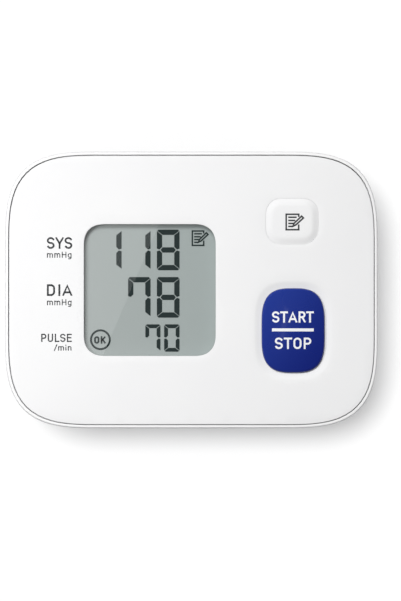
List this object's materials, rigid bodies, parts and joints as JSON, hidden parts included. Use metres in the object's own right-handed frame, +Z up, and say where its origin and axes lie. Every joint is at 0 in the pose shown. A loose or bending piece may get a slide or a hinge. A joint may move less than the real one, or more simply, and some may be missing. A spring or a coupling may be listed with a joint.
{
  "type": "wrist blood pressure monitor",
  "caption": "Compact wrist blood pressure monitor: white rounded housing with square display, large start key and small memory key, on a padded cuff closed into a loop.",
  "frame": {"origin": "on the surface that the closed cuff rests on, under the middle of the housing", "axes": "+X along the housing's long side towards the keys, +Y along the forearm towards the memory key's end, +Z up out of the display"},
  "size_m": [0.0841, 0.0624, 0.078],
  "materials": {
    "white_shell": "fine satin moulded plastic",
    "white_key": "fine satin moulded plastic",
    "blue_key": "smooth gloss moulded plastic",
    "clear_window": "clear polished",
    "lcd": "grey-green reflective display",
    "black_plastic": "fine matt",
    "grey_rubber": "matt",
    "circuit_board": "green lacquer",
    "steel": "plated",
    "cell_wrap": "plain printed sleeve",
    "silicone": "translucent matt",
    "curler_plastic": "springy sheet",
    "bladder_film": "welded film",
    "outer_cloth": "brushed loop nylon",
    "inner_cloth": "fine woven nylon",
    "binding_tape": "ribbed tape",
    "hook_tape": "moulded hooks"
  },
  "bodies": {
    "housing": {"front_case": "white_shell", "rear_case": "white_shell", "display_window": "clear_window", "start_switch": "black_plastic", "memory_switch": "black_plastic", "lcd_panel": "lcd", "lcd_holder": "black_plastic", "zebra_connector_1": "grey_rubber", "zebra_connector_2": "grey_rubber", "circuit_board": "circuit_board", "microcontroller": "black_plastic", "case_screw_1": "steel", "case_screw_2": "steel", "case_screw_3": "steel", "case_screw_4": "steel", "battery_1": "cell_wrap", "battery_2": "cell_wrap", "contact_spring_1": "steel", "contact_spring_2": "steel", "contact_negative": "steel", "contact_positive": "steel", "contact_bridge": "steel", "pump_motor": "steel", "pump_head": "black_plastic", "air_manifold": "black_plastic", "air_valve": "steel", "pressure_sensor": "black_plastic", "pump_tube": "silicone", "sensor_tube": "silicone", "valve_tube": "silicone", "cuff_tube": "silicone", "cuff_nozzle": "silicone", "cuff_plate": "black_plastic", "cuff_plate_screw_1": "steel", "cuff_plate_screw_2": "steel", "cuff_plate_screw_3": "steel", "cuff_plate_screw_4": "steel", "cuff_outer_cloth": "outer_cloth", "cuff_curler": "curler_plastic", "cuff_bladder": "bladder_film", "cuff_inner_cloth": "inner_cloth", "cuff_binding_1": "binding_tape", "cuff_binding_2": "binding_tape"},
    "start_key": {"start_stop_button": "blue_key", "start_switch_plunger": "grey_rubber"},
    "memory_key": {"memory_button": "white_key", "memory_switch_plunger": "grey_rubber"},
    "battery_door": {"battery_cover": "white_shell"},
    "pump_crank": {"pump_shaft": "steel"},
    "valve_pin": {"valve_plunger": "steel"},
    "cuff_flap": {"cuff_side": "outer_cloth"},
    "cuff_tab": {"cuff_tail": "outer_cloth", "hook_patch": "hook_tape"}
  },
  "joints": [
    {"name": "start_press", "type": "slide", "parent": "housing", "child": "start_key", "axis": [0, 0, -1], "range_m": [0, 0.0005], "stiffness_N_per_m": 800, "springref_m": -0.0005},
    {"name": "memory_press", "type": "slide", "parent": "housing", "child": "memory_key", "axis": [0, 0, -1], "range_m": [0, 0.0005], "stiffness_N_per_m": 800, "springref_m": -0.0005},
    {"name": "battery_cover_slide", "type": "slide", "parent": "housing", "child": "battery_door", "axis": [-1, 0, 0], "range_m": [0, 0.025]},
    {"name": "pump_spin", "type": "hinge", "parent": "housing", "child": "pump_crank", "pos_m": [0.006, -0.006, 0.0646], "axis": [0, 1, 0], "continuous": true},
    {"name": "valve_pull", "type": "slide", "parent": "housing", "child": "valve_pin", "axis": [0, 1, 0], "range_m": [0, 0.0005], "stiffness_N_per_m": 200, "springref_m": -0.0005},
    {"name": "cuff_flap_open", "type": "hinge", "parent": "housing", "child": "cuff_flap", "pos_m": [0.01961, 0, 0.00317], "axis": [0, 1, 0], "range_deg": [0, 25]},
    {"name": "cuff_tab_open", "type": "hinge", "parent": "cuff_flap", "child": "cuff_tab", "pos_m": [0.03279, 0, 0.02211], "axis": [0, 1, 0], "range_deg": [0, 90]}
  ]
}
